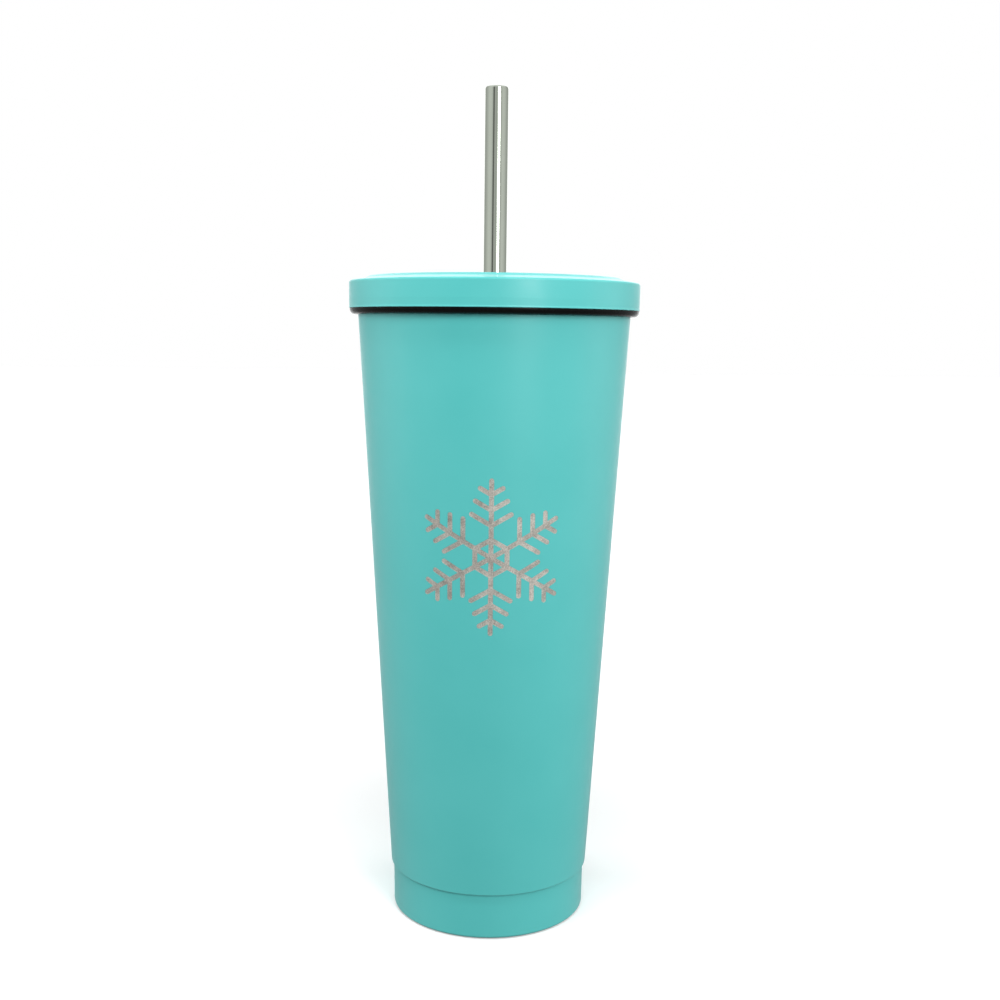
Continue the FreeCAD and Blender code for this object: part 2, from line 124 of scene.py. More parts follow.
def arc(here, back, ahead, rounding):
    """Points and outward normals along the arc that rounds a corner of an outline."""
    half = back.angle(ahead) / 2
    centre = here + (back + ahead).normalized() * (rounding / math.sin(half))
    first = here + back * (rounding / math.tan(half)) - centre
    last = here + ahead * (rounding / math.tan(half)) - centre
    turn = -first.angle_signed(last)
    side = 1.0 if turn > 0 else -1.0
    steps = max(ARC_STEPS_LEAST, math.ceil(abs(turn) / ARC_STEP))
    found = []
    for step in range(steps + 1):
        spoke = first.copy()
        spoke.rotate(Matrix.Rotation(turn * step / steps, 2))
        found.append((centre + spoke, spoke.normalized() * side))
    return found


def outline(corners):
    """Runs of a closed outline through its corners, which go round anticlockwise."""
    points = [Vector(corner[:2]) for corner in corners]
    bends = []
    for index, here in enumerate(points):
        rounding = corners[index][2:]
        back = (points[index - 1] - here).normalized()
        ahead = (points[(index + 1) % len(points)] - here).normalized()
        bends.append(arc(here, back, ahead, *rounding) if rounding else [(here, None)])
    runs = []
    for index, bend in enumerate(bends):
        for (a, normal_a), (b, normal_b) in zip(bend, bend[1:]):
            runs.append(Run(a, b, normal_a, normal_b))
        start, end = bend[-1][0], bends[(index + 1) % len(bends)][0][0]
        if (end - start).length > TINY:
            along = (end - start).normalized()
            normal = Vector((along.y, -along.x))
            runs.append(Run(start, end, normal, normal))
    return runs


# ---------------------------------------------------------------- meshes

def spun(point, angle):
    """A (radius, height) point or normal, turned to an angle about the Z axis."""
    return Vector((point.x * math.cos(angle), point.x * math.sin(angle), point.y))


class Skin:
    """Faces with their own corner normals, gathered before they become one mesh."""

    def __init__(self):
        self.points, self.faces, self.normals, self.slots = [], [], [], []
        self.known = {}

    def point(self, key, place):
        """The number of the point known by that key, added at that place in millimetres if new."""
        if key not in self.known:
            self.known[key] = len(self.points)
            self.points.append(place * MM)
        return self.known[key]

    def face(self, corners, normals, slot=0):
        """A face through those points, with a normal for each and a material's number."""
        self.faces.append(corners)
        self.normals.extend(normals)
        self.slots.append(slot)

    def ring_point(self, at, step):
        """A point of a spun outline. All points on the axis are one."""
        around = 0 if at.x < TINY else step % SPIN_STEPS
        key = (round(at.x, KEY_DIGITS), round(at.y, KEY_DIGITS), around)
        return self.point(key, spun(at, TURN * step / SPIN_STEPS))

    def spin(self, runs, skip=lambda run, step: False):
        """Adds the surface of revolution of an outline, without the faces that are skipped."""
        for run in runs:
            if run.a.x < TINY and run.b.x < TINY:
                continue
            for step in range(SPIN_STEPS):
                if not skip(run, step):
                    self.spin_face(run, step)

    def spin_face(self, run, step):
        """One face of a spun run: four corners, or three where it touches the axis."""
        here, there = TURN * step / SPIN_STEPS, TURN * (step + 1) / SPIN_STEPS
        around = [
            (self.ring_point(run.a, step), spun(run.normal_a, here)),
            (self.ring_point(run.a, step + 1), spun(run.normal_a, there)),
            (self.ring_point(run.b, step + 1), spun(run.normal_b, there)),
            (self.ring_point(run.b, step), spun(run.normal_b, here)),
        ]
        kept = [this for last, this in zip(around[-1:] + around, around) if this[0] != last[0]]
        self.face([number for number, _ in kept], [normal for _, normal in kept])

    def piece(self, name, body, nodes, materials):
        """Makes the object. It rides on a body, stands for CAD nodes and takes the given materials.
        """
        mesh = bpy.data.meshes.new(name)
        mesh.from_pydata([tuple(p) for p in self.points], [], self.faces)
        for finish in materials:
            mesh.materials.append(finish)
        mesh.polygons.foreach_set("material_index", self.slots)
        mesh.polygons.foreach_set("use_smooth", [True] * len(self.faces))
        mesh.update()
        mesh.normals_split_custom_set([tuple(n) for n in self.normals])
        made = bpy.data.objects.new(name, mesh)
        bpy.context.scene.collection.objects.link(made)
        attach(made, body)
        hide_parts(*nodes)


def turned(name, body, node, finish, corners):
    """Makes a piece that is one spun outline and stands for one CAD node."""
    skin = Skin()
    skin.spin(outline(corners))
    skin.piece(name, body, [node], [finish])


# ---------------------------------------------------------------- shader helpers

class Nodes:
    """A node tree with short ways to add nodes."""

    def __init__(self, tree):
        self.tree = tree

    def add(self, kind, **settings):
        node = self.tree.nodes.new(kind)
        for name, value in settings.items():
            setattr(node, name, value)
        return node

    def feed(self, socket, value):
        """Links an output to a socket, or sets the socket's own value."""
        if isinstance(value, bpy.types.NodeSocket):
            self.tree.links.new(value, socket)
        else:
            socket.default_value = value

    def maths(self, operation, first, second=0.0):
        node = self.add("ShaderNodeMath", operation=operation)
        self.feed(node.inputs[0], first)
        self.feed(node.inputs[1], second)
        return node.outputs[0]

    def times(self, first, second):
        return self.maths("MULTIPLY", first, second)

    def plus(self, first, second):
        return self.maths("ADD", first, second)

    def split(self, vector):
        """A vector's (x, y, z) outputs."""
        node = self.add("ShaderNodeSeparateXYZ")
        self.feed(node.inputs[0], vector)
        return node.outputs

    def join(self, x, y, z):
        node = self.add("ShaderNodeCombineXYZ")
        for socket, value in zip(node.inputs, (x, y, z)):
            self.feed(socket, value)
        return node.outputs[0]

    def spread(self, value, from_low, from_high, to_low, to_high):
        """Value moved from one range to another, and held inside it."""
        node = self.add("ShaderNodeMapRange", clamp=True)
        for socket, number in zip(node.inputs[1:5], (from_low, from_high, to_low, to_high)):
            socket.default_value = number
        self.feed(node.inputs[0], value)
        return node.outputs[0]

    def blend(self, share, first, second):
        """Colour between first and second."""
        node = self.add("ShaderNodeMix", data_type="RGBA")
        self.feed(node.inputs[0], share)
        self.feed(node.inputs[6], first)
        self.feed(node.inputs[7], second)
        return node.outputs[2]


NOISE_RANGE = (0.3, 0.7)


class Finish(Nodes):
    """A node material around one shader, with textures placed by position in metres."""

    def __init__(self, name, **constants):
        self.material = bpy.data.materials.new(name)
        self.material.use_nodes = True
        super().__init__(self.material.node_tree)
        self.shader = next(n for n in self.tree.nodes if n.type == "BSDF_PRINCIPLED")
        for socket, value in constants.items():
            self.shader.inputs[socket.replace("_", " ")].default_value = value
        self.place = self.add("ShaderNodeTexCoord").outputs["Object"]
        self.x, self.y, self.height = self.split(self.place)

    def radius(self):
        """Distance from the Z axis."""
        square = self.plus(self.times(self.x, self.x), self.times(self.y, self.y))
        return self.maths("SQRT", square)

    def angle(self):
        """Angle about the Z axis, in radians."""
        return self.maths("ARCTAN2", self.y, self.x)

    def noise(self, scale, detail=2.0, rough=0.5, at=None):
        """Noise with that many features a metre, from 0 to 1."""
        node = self.add("ShaderNodeTexNoise")
        self.feed(node.inputs["Vector"], at or self.place)
        node.inputs["Scale"].default_value = scale
        node.inputs["Detail"].default_value = detail
        node.inputs["Roughness"].default_value = rough
        return node.outputs["Fac"]

    def set(self, socket, value):
        self.feed(self.shader.inputs[socket], value)

    def roughness(self, noise, low_rough, high_rough):
        """Roughness that follows a noise from one value to another."""
        self.set("Roughness", self.spread(noise, *NOISE_RANGE, low_rough, high_rough))

    def bump(self, height, depth, strength=1.0, after=None):
        """Surface relief of that depth in metres. Chains after another relief."""
        node = self.add("ShaderNodeBump")
        node.inputs["Strength"].default_value = strength
        node.inputs["Distance"].default_value = depth
        self.feed(node.inputs["Height"], height)
        if after:
            self.feed(node.inputs["Normal"], after)
        self.set("Normal", node.outputs[0])
        return node.outputs[0]


def grey(level):
    return (level, level, level, 1.0)


def darker(colour, share):
    """A colour with that share of its brightness."""
    return tuple(channel * share for channel in colour[:3]) + (1.0,)


# ---------------------------------------------------------------- materials

TEAL = (0.094, 0.547, 0.529, 1.0)
TEAL_PALE = (0.102, 0.563, 0.545, 1.0)
STEEL = (0.60, 0.60, 0.585, 1.0)
# The liner's steel is paler than the plate's steel: painted light that lifts the shaded inside of
# the cup.
LINER_STEEL_PAINTED_LIGHT = (0.74, 0.745, 0.735, 1.0)
# Straw steel tinted green: a painted reflection of greenish surroundings. The two tones differ at
# random by smudges.
STRAW_STEEL_REFLECTED_GREEN_DARK = (0.65, 0.71, 0.61, 1.0)
STRAW_STEEL_REFLECTED_GREEN_PALE = (0.71, 0.77, 0.67, 1.0)
ETCHED_DARK = (0.33, 0.31, 0.275, 1.0)
ETCHED_PALE = (0.78, 0.735, 0.67, 1.0)
COPPER_DARK = (0.78, 0.36, 0.22, 1.0)
COPPER_PALE = (0.90, 0.48, 0.32, 1.0)
GLASS_DARK = (0.10, 0.08, 0.05, 1.0)
GLASS_PALE = (0.22, 0.18, 0.12, 1.0)
RUBBED_HEIGHT = 0.3 * MM
LATHE_LINES = 9000.0        # across a line, per metre
LATHE_LINES_AROUND = 0.8    # along a line, per radian
TUBE_LINES_AROUND = 55.0    # across a line, per radian
TUBE_LINES = 16.0           # along a line, per metre


def powder_coat():
    """Satin powder coat: fine pebbled grain, faint mottling, and bare steel rubbed at the foot."""
    finish = Finish("powder_coat", IOR=1.5, Sheen_Weight=0.22, Sheen_Roughness=0.45)
    mottle = finish.spread(finish.noise(38.0, 3.0), 0.35, 0.65, 0.0, 1.0)
    paint = finish.blend(mottle, TEAL, TEAL_PALE)
    scuffs = finish.noise(420.0, 4.0, 0.65)
    edge = finish.spread(finish.height, 0.0, RUBBED_HEIGHT, 1.0, 0.0)
    rubbed = finish.spread(finish.plus(edge, scuffs), 1.12, 1.3, 0.0, 1.0)
    finish.set("Base Color", finish.blend(rubbed, paint, STEEL))
    finish.set("Metallic", rubbed)
    finish.roughness(finish.noise(260.0, 3.0), 0.31, 0.39)
    pebbles = finish.bump(finish.noise(1500.0, 2.0), 0.020 * MM, 0.55)
    finish.bump(finish.noise(320.0, 1.0), 0.030 * MM, 0.35, pebbles)
    return finish.material


def etched_steel():
    """Laser-etched steel where the coat is burnt away: grainy, warm grey and patchy."""
    finish = Finish("etched_steel", Metallic=0.55)
    grains = finish.noise(2600.0, 3.0, 0.7)
    patches = finish.noise(240.0, 3.0)
    tone = finish.plus(finish.times(grains, 0.65), finish.times(patches, 0.35))
    share = finish.spread(tone, 0.38, 0.62, 0.0, 1.0)
    finish.set("Base Color", finish.blend(share, ETCHED_DARK, ETCHED_PALE))
    finish.roughness(grains, 0.42, 0.62)
    finish.bump(grains, 0.015 * MM, 0.6)
    return finish.material


def ring_brushed(name, colour, smooth, rough):
    """Steel polished on a lathe: fine lines that run round the axis."""
    finish = Finish(name, Metallic=1.0)
    lines_at = finish.join(finish.times(finish.radius(), LATHE_LINES),
                           finish.times(finish.angle(), LATHE_LINES_AROUND),
                           finish.times(finish.height, LATHE_LINES))
    lines = finish.noise(1.0, 3.0, 0.6, lines_at)
    smudges = finish.noise(45.0, 3.0)
    share = finish.spread(lines, *NOISE_RANGE, 0.0, 1.0)
    finish.set("Base Color", finish.blend(share, darker(colour, 0.9), colour))
    both = finish.plus(finish.times(lines, 0.6), finish.times(smudges, 0.4))
    finish.set("Roughness", finish.spread(both, 0.35, 0.65, smooth, rough))
    finish.bump(lines, 0.004 * MM, 0.5)
    return finish.material


def drawn_steel():
    """Polished drawn tube: near mirror, with faint lines along its length. Its colour is tinted
    green, a painted reflection of greenish surroundings.
    """
    finish = Finish("drawn_steel", Metallic=1.0)
    lines_at = finish.join(finish.times(finish.angle(), TUBE_LINES_AROUND),
                           finish.times(finish.height, TUBE_LINES), 0.0)
    lines = finish.noise(1.0, 3.0, 0.6, lines_at)
    smudges = finish.noise(150.0, 3.0)
    finish.set("Base Color", finish.blend(smudges, STRAW_STEEL_REFLECTED_GREEN_DARK, STRAW_STEEL_REFLECTED_GREEN_PALE))
    both = finish.plus(finish.times(lines, 0.5), finish.times(smudges, 0.5))
    finish.set("Roughness", finish.spread(both, 0.35, 0.65, 0.05, 0.11))
    finish.bump(lines, 0.004 * MM, 0.35)
    return finish.material


def moulded_black():
    """Black moulded plastic: even, slightly glossy, with a very fine spark-eroded grain."""
    finish = Finish("moulded_black", IOR=1.46, Specular_IOR_Level=0.12)
    finish.set("Base Color", finish.blend(finish.noise(60.0, 2.0), grey(0.002), grey(0.005)))
    finish.roughness(finish.noise(500.0, 3.0), 0.22, 0.32)
    finish.bump(finish.noise(2200.0, 2.0), 0.006 * MM, 0.4)
    return finish.material


def silicone():
    """Dark silicone rubber: matte, faintly dusty."""
    finish = Finish("silicone", IOR=1.43)
    dust = finish.spread(finish.noise(900.0, 5.0, 0.7), 0.5, 0.8, 0.0, 1.0)
    finish.set("Base Color", finish.blend(dust, grey(0.020), grey(0.045)))
    finish.roughness(finish.noise(300.0, 3.0), 0.55, 0.7)
    finish.bump(finish.noise(1400.0, 2.0), 0.012 * MM, 0.4)
    return finish.material


def copper_foil():
    """Bright copper foil with crinkles."""
    finish = Finish("copper_foil", Metallic=1.0)
    crinkles = finish.noise(180.0, 4.0, 0.6)
    finish.set("Base Color", finish.blend(crinkles, COPPER_DARK, COPPER_PALE))
    finish.roughness(crinkles, 0.18, 0.35)
    finish.bump(crinkles, 0.06 * MM, 0.6)
    return finish.material


def sintered():
    """Pressed getter powder."""
    finish = Finish("sintered", Metallic=0.4)
    grains = finish.noise(2200.0, 4.0, 0.7)
    finish.set("Base Color", finish.blend(grains, grey(0.06), grey(0.20)))
    finish.roughness(grains, 0.7, 0.95)
    finish.bump(grains, 0.05 * MM, 0.7)
    return finish.material


def solder_glass():
    """Brown fired glass bead."""
    finish = Finish("solder_glass", IOR=1.6)
    swirl = finish.noise(500.0, 4.0)
    finish.set("Base Color", finish.blend(swirl, GLASS_DARK, GLASS_PALE))
    finish.roughness(swirl, 0.08, 0.2)
    return finish.material


PAINT = powder_coat()
ETCHED = etched_steel()
# Paler steel for the liner: painted light for the shaded inside of the cup.
BRUSHED = ring_brushed("liner_steel_painted_light", LINER_STEEL_PAINTED_LIGHT, 0.20, 0.34)
PLATE_STEEL = ring_brushed("plate_steel", STEEL, 0.26, 0.42)
STRAW_STEEL = drawn_steel()
BLACK = moulded_black()
RUBBER = silicone()


# ---------------------------------------------------------------- the etched mark

# A plain snowflake: its middle's height, its arms, and its twigs as (share of the arm, length).
MARK_HEIGHT = 133.5
MARK_ARMS = 6
MARK_ARM = 25.2
MARK_LINE = 1.6
MARK_CAP_STEPS = 7
MARK_HEART = 6.0
MARK_TWIGS = ((0.42, 7.4), (0.62, 6.0), (0.82, 4.2))
MARK_DEPTH = 0.06
# The patch around it reaches so many spin steps to each side, and so many rows up and down.
MARK_STEPS = 22
MARK_ROW = 2.0
MARK_ROWS = 14
MARK_LOW, MARK_HIGH = MARK_HEIGHT - MARK_ROW * MARK_ROWS, MARK_HEIGHT + MARK_ROW * MARK_ROWS
FRONT_STEP = SPIN_STEPS * 3 // 4
ALL_TRIANGLES = 0    # delaunay_2d_cdt leaves out no triangle


def stroke(start, end):
    """Outline of a straight line with round ends."""
    along = (end - start).normalized()
    found = []
    for centre, direction in ((end, along), (start, -along)):
        side = Vector((direction.y, -direction.x)) * MARK_LINE / 2
        for step in range(MARK_CAP_STEPS + 1):
            spoke = side.copy()
            spoke.rotate(Matrix.Rotation(math.pi * step / MARK_CAP_STEPS, 2))
            found.append(centre + spoke)
    return found


def snowflake():
    """Strokes of a plain six-armed snowflake, around (0, 0)."""
    leans = [math.pi / 2 + TURN * number / MARK_ARMS for number in range(MARK_ARMS)]
    arms = [Vector((math.cos(lean), math.sin(lean))) for lean in leans]
    strokes = []
    for index, arm in enumerate(arms):
        strokes.append(stroke(arm * 0.0, arm * MARK_ARM))
        strokes.append(stroke(arm * MARK_HEART, arms[index - 1] * MARK_HEART))
        for share, length in MARK_TWIGS:
            fork = arm * MARK_ARM * share
            for side in (-1, 1):
                twig = arm.copy()
                twig.rotate(Matrix.Rotation(side * TURN / MARK_ARMS, 2))
                strokes.append(stroke(fork, fork + twig * length))
    return strokes


def marked_patch(skin):
    """Adds the shell's front between the mark's rows, with the mark sunk into it.

    The patch is laid out flat, as (distance round the shell, height). Its grid meets the spun
    faces around it, and the strokes are cut into the grid.
    """
    flat_radius = shell_at(MARK_HEIGHT)
    cell = flat_radius * TURN / SPIN_STEPS
    columns, rows = 2 * MARK_STEPS + 1, 2 * MARK_ROWS + 1
    grid = [Vector(((column - MARK_STEPS) * cell, MARK_LOW + row * MARK_ROW))
            for row in range(rows) for column in range(columns)]
    edges = [(row * columns + column, row * columns + column + 1)
             for row in range(rows) for column in range(columns - 1)]
    edges += [(number, number + columns) for number in range((rows - 1) * columns)]
    points, shapes = list(grid), []
    for shape in snowflake():
        shapes.append(list(range(len(points), len(points) + len(shape))))
        for at in shape:
            up = MARK_HEIGHT + at.y
            points.append(Vector((at.x * flat_radius / shell_at(up), up)))
    flat, _, faces, origins, _, shapes_at = delaunay_2d_cdt(
        points, edges, shapes, ALL_TRIANGLES, TINY, True)
    slope = Vector((1.0, -SHELL_SLOPE)).normalized()

    def angle_of(number):
        return (FRONT_STEP + flat[number].x / cell) * TURN / SPIN_STEPS

    def corner(number, sunk):
        """The skin's point there. A point on the grid is shared with the spun faces."""
        at_grid = [origin for origin in origins[number] if origin < len(grid)]
        if at_grid and not sunk:
            height = MARK_LOW + (at_grid[0] // columns) * MARK_ROW
            step = FRONT_STEP - MARK_STEPS + at_grid[0] % columns
            return skin.ring_point(Vector((shell_at(height), height)), step)
        radius = shell_at(flat[number].y) - (MARK_DEPTH if sunk else 0.0)
        place = spun(Vector((radius, flat[number].y)), angle_of(number))
        return skin.point(("mark", number, sunk), place)

    sunk_beside = {}
    for face, shapes_in in zip(faces, shapes_at):
        sunk = bool(shapes_in)
        normals = [spun(slope, angle_of(number)) for number in face]
        skin.face([corner(number, sunk) for number in face], normals, int(sunk))
        for index, number in enumerate(face):
            sunk_beside[(number, face[(index + 1) % len(face)])] = sunk
    for (a, b), sunk in sunk_beside.items():
        if not sunk and sunk_beside.get((b, a)):
            corners = [corner(b, False), corner(a, False), corner(a, True), corner(b, True)]
            across = skin.points[corners[1]] - skin.points[corners[0]]
            wall = across.cross(skin.points[corners[2]] - skin.points[corners[1]]).normalized()
            skin.face(corners, [wall] * 4, 1)


def outer_shell():
    """Painted cone with the etched mark on its front."""
    heights = [MARK_LOW + MARK_ROW * row for row in range(2 * MARK_ROWS + 1)]
    corners = [(shell_at(STEP), STEP, 0.35)]
    corners += [(shell_at(height), height) for height in heights]
    corners += [
        (shell_at(COAT_TOP), COAT_TOP, 0.1),
        (shell_at(COAT_TOP) - SHEET, COAT_TOP),
        (shell_at(STEP) - SHEET, STEP),
    ]

    def under_mark(run, step):
        bottom, top = sorted((run.a.y, run.b.y))
        in_rows = bottom > MARK_LOW - TINY and top < MARK_HIGH + TINY
        in_steps = abs(step + 0.5 - FRONT_STEP) < MARK_STEPS
        return run.normal_a.x > 0 and in_rows and in_steps

    skin = Skin()
    skin.spin(outline(corners), skip=under_mark)
    marked_patch(skin)
    skin.piece("shell_coat", "vessel", ["outer_shell"], [PAINT, ETCHED])


# ---------------------------------------------------------------- vessel

def base_cup():
    """Painted foot: band, rounded standing ring, and the recessed floor with its exhaust dimple."""
    inner_foot = FOOT_RADIUS - FOOT_WIDTH
    floor_top = RECESS + BASE_SHEET
    dimple, dimple_foot, dimple_top, exhaust = 1.3, 5.0, 2.6, 0.8
    seam = STEP - 0.2
    turned("base_band", "vessel", "base_cup", PAINT, [
        (FOOT_RADIUS, 0.0, 1.0),
        (BAND_RADIUS, seam, 0.08),
        (shell_at(STEP) - SHEET, STEP),
        (shell_at(LAP_TOP) - SHEET, LAP_TOP),
        (shell_at(LAP_TOP) - SHEET - BASE_SHEET, LAP_TOP),
        (FOOT_RADIUS - BASE_SHEET, BASE_SHEET, 0.4),
        (inner_foot + BASE_SHEET, BASE_SHEET, 0.5),
        (inner_foot + BASE_SHEET, floor_top, 0.8),
        (dimple_foot, floor_top),
        (dimple_top, floor_top + dimple),
        (exhaust, floor_top + dimple),
        (exhaust, RECESS + dimple),
        (dimple_top, RECESS + dimple),
        (dimple_foot, RECESS),
        (inner_foot, RECESS, 0.5),
        (inner_foot, 0.0, 0.8),
    ])


def base_plate():
    """Bare disc with one pressed ring and a soft edge."""
    edge, under = reach("base_plate"), low("base_plate")
    over = under + SHEET
    rib, width, rise = 22.0, 0.8, 0.5
    turned("foot_plate", "vessel", "base_plate", PLATE_STEEL, [
        (0.0, under),
        (rib - width - rise, under, 0.4),
        (rib - width, under + rise, 0.4),
        (rib + width, under + rise, 0.4),
        (rib + width + rise, under, 0.4),
        (edge, under, 0.4),
        (edge, RECESS),
        (edge - SHEET, RECESS),
        (edge - SHEET, over),
        (rib + width + rise, over),
        (rib + width, over + rise),
        (rib - width, over + rise),
        (rib - width - rise, over),
        (0.0, over),
    ])


def liner_wall():
    """Steel liner with its turned-in foot, its neck and the lip that rolls over into the shell."""
    foot, lip_low = liner_at(LINER_FLOOR), RIM - LIP_WIDTH / 2
    tail_low = lip_low - LIP_TAIL
    lip_out, tail_out = shell_at(lip_low) - SHEET, shell_at(tail_low) - SHEET
    lip_in = lip_out - LIP_WIDTH
    flat_on_lip = 0.04
    lip_round = (LIP_WIDTH - flat_on_lip) / 2
    seam = reach("liner_bottom")
    turned("liner", "vessel", "liner_wall", BRUSHED, [
        (seam, LINER_FLOOR - SHEET),
        (foot + SHEET, LINER_FLOOR - SHEET, 2.5),
        (liner_at(NECK_LOW) + SHEET, NECK_LOW, 1.5),
        (lip_in + SHEET, NECK_HIGH, 2.0),
        (lip_in + SHEET, RIM - SHEET, 0.45),
        (lip_out - SHEET, RIM - SHEET, 0.45),
        (lip_out - SHEET, lip_low),
        (tail_out - SHEET, tail_low),
        (tail_out, tail_low),
        (lip_out, lip_low),
        (lip_out, RIM, lip_round),
        (lip_in, RIM, lip_round),
        (lip_in, NECK_HIGH, 1.5),
        (liner_at(NECK_LOW), NECK_LOW, 2.0),
        (foot, LINER_FLOOR, 2.0),
        (seam + WELD_WIDTH, LINER_FLOOR, 0.2),
        (seam + WELD_FLAT, LINER_FLOOR - WELD_DEPTH),
        (seam, LINER_FLOOR - WELD_DEPTH),
    ])


def liner_floor():
    """Inner floor, its edge softened at the weld."""
    edge, under = reach("liner_bottom"), low("liner_bottom")
    turned("liner_floor", "vessel", "liner_bottom", BRUSHED, [
        (0.0, under),
        (edge, under),
        (edge, LINER_FLOOR - WELD_DEPTH),
        (edge - WELD_FLAT, LINER_FLOOR - WELD_DEPTH),
        (edge - WELD_WIDTH, LINER_FLOOR, 0.2),
        (0.0, LINER_FLOOR),
    ])


# ---------------------------------------------------------------- lid

def lid_cover():
    """Painted cap: skirt with a bead, soft shoulder, shallow raised panel, hole for the grommet."""
    bead, groove_low, groove_high, groove = 0.3, 0.6, 3.0, 0.08
    shoulder, panel, inset = 44.7, 43.3, 0.2
    shoulder_height, panel_height, skirt_high = CROWN - 1.1, CROWN - 0.33, CROWN - 2.05
    turned("cover_coat", "lid", "lid_cover", PAINT, [
        (LID_RADIUS, SKIRT_LOW, 0.15),
        (LID_RADIUS, SKIRT_LOW + bead, 0.1),
        (LID_RADIUS - groove, SKIRT_LOW + groove_low, 0.1),
        (LID_RADIUS, SKIRT_LOW + groove_high, 2.0),
        (LID_RADIUS, skirt_high, 0.75),
        (shoulder, shoulder_height, 0.5),
        (panel, panel_height, 0.6),
        (SLEEVE_RADIUS, CROWN, 0.15),
        (SLEEVE_RADIUS, CROWN - COVER_SHEET),
        (panel - inset, panel_height - COVER_SHEET),
        (shoulder - inset, shoulder_height - COVER_SHEET),
        (LID_RADIUS - COVER_SHEET, skirt_high - COVER_SHEET, 0.5),
        (LID_RADIUS - COVER_SHEET, SKIRT_LOW, 0.22),
    ])


def lid_body():
    """Moulded inner lid: flange, grooved plug, floor and the boss around the straw."""
    plug, wall, floor_thickness, groove = 41.2, 4.0, 2.0, 2.0
    groove_in, groove_low, groove_high = plug - groove, low("lid_gasket"), high("lid_gasket")
    stand_out, stand_width, stand_high = LID_RADIUS - COVER_SHEET, 2.2, 221.2
    flange_low = COAT_TOP + FLANGE_GAP
    sleeve_low, boss_bore, boss = low("straw_grommet"), 5.2, 9.0
    turned("inner_lid", "lid", "lid_body", BLACK, [
        (boss_bore, PLUG_LOW, 0.4),
        (plug, PLUG_LOW, 1.6),
        (plug, groove_low, 0.15),
        (groove_in, groove_low),
        (groove_in, groove_high),
        (plug, groove_high, 0.15),
        (plug, LID_SEAT, 0.6),
        (FLANGE_IN, LID_SEAT),
        (FLANGE_IN, flange_low, 0.1),
        (FLANGE_RADIUS, flange_low, 1.7),
        (FLANGE_RADIUS, SKIRT_LOW, 0.1),
        (stand_out, SKIRT_LOW),
        (stand_out, stand_high),
        (stand_out - stand_width, stand_high),
        (stand_out - stand_width, SKIRT_LOW),
        (plug - wall, SKIRT_LOW),
        (plug - wall, PLUG_LOW + floor_thickness),
        (boss, PLUG_LOW + floor_thickness),
        (boss, BOSS_TOP),
        (SLEEVE_RADIUS, BOSS_TOP),
        (SLEEVE_RADIUS, sleeve_low),
        (boss_bore, sleeve_low),
    ])


def lid_gasket():
    """Silicone ring with three fins that follow the liner's taper."""
    bottom, top = low("lid_gasket"), high("lid_gasket")
    back, root, fins, thickness, foot, play = 39.2, 41.45, 3, 1.0, 0.2, 0.12
    pitch = (top - bottom) / fins
    corners = [(back, bottom), (root, bottom)]
    for fin in range(fins):
        middle = bottom + pitch * (fin + 0.5)
        if fin:
            corners.append((root, middle - thickness / 2, 0.1))
        corners.append((liner_at(middle) - play, middle + thickness / 2, 0.22))
        corners.append((root, middle + thickness / 2 + foot, 0.08))
    corners += [(root, top), (back, top)]
    turned("gasket", "lid", "lid_gasket", RUBBER, corners)


def straw_grommet():
    """Sleeve with a soft collar and a funnel that leads the straw in."""
    bottom, top, collar = low("straw_grommet"), high("straw_grommet"), reach("straw_grommet")
    play, funnel = 0.05, 0.8
    hole = STRAW_RADIUS + play
    turned("grommet", "lid", "straw_grommet", RUBBER, [
        (hole + funnel, bottom, 0.2),
        (SLEEVE_RADIUS, bottom, 0.3),
        (SLEEVE_RADIUS, CROWN),
        (collar, CROWN, 0.12),
        (collar, top, 0.5),
        (hole + funnel, top, 0.3),
        (hole, top - funnel, 0.3),
        (hole, bottom + funnel, 0.3),
    ])


# ---------------------------------------------------------------- straw

def straw():
    """Steel tube. Its ends are rolled slightly inward and polished round."""
    bottom, top = low("straw"), high("straw")
    roll, inward, outer_edge, inner_edge = 0.6, 0.22, 0.3, 0.08
    mouth = STRAW_BORE - inward / 2
    turned("drinking_straw", "straw", "straw", STRAW_STEEL, [
        (STRAW_BORE, bottom + roll, 0.8),
        (mouth, bottom, inner_edge),
        (STRAW_RADIUS - inward, bottom, outer_edge),
        (STRAW_RADIUS, bottom + roll, 1.2),
        (STRAW_RADIUS, top - roll, 1.2),
        (STRAW_RADIUS - inward, top, outer_edge),
        (mouth, top, inner_edge),
        (STRAW_BORE, top - roll, 0.8),
    ])


def straw_stop_ring():
    """Soft ring that stops the straw under the lid."""
    bottom, top = low("straw_stop_ring"), high("straw_stop_ring")
    out = reach("straw_stop_ring")
    turned("stop_ring", "straw", "straw_stop_ring", RUBBER, [
        (STRAW_RADIUS, bottom),
        (out, bottom, 0.8),
        (out, top, 0.8),
        (STRAW_RADIUS, top),
    ])


def hidden_pieces():
    """The pieces sealed inside the walls and foot keep their CAD shape, with a finish each."""
    finishes = {
        "copper_foil": copper_foil(),
        "getter_pill": sintered(),
        "getter_holder": PLATE_STEEL,
        "vacuum_seal": solder_glass(),
    }
    for node, finish in finishes.items():
        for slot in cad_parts[node].material_slots:
            slot.material = finish


# ---------------------------------------------------------------- studio

# Angles in radians, lens in millimetres, clipping distances in metres.
CAMERA_PLACE = Vector((2.70, -445.36, 205.84)) * MM
CAMERA_PITCH = 0.1318
CAMERA_ROLL = 0.0121
CAMERA_LENS = 45.80
CAMERA_NEAR, CAMERA_FAR = 0.01, 50.0


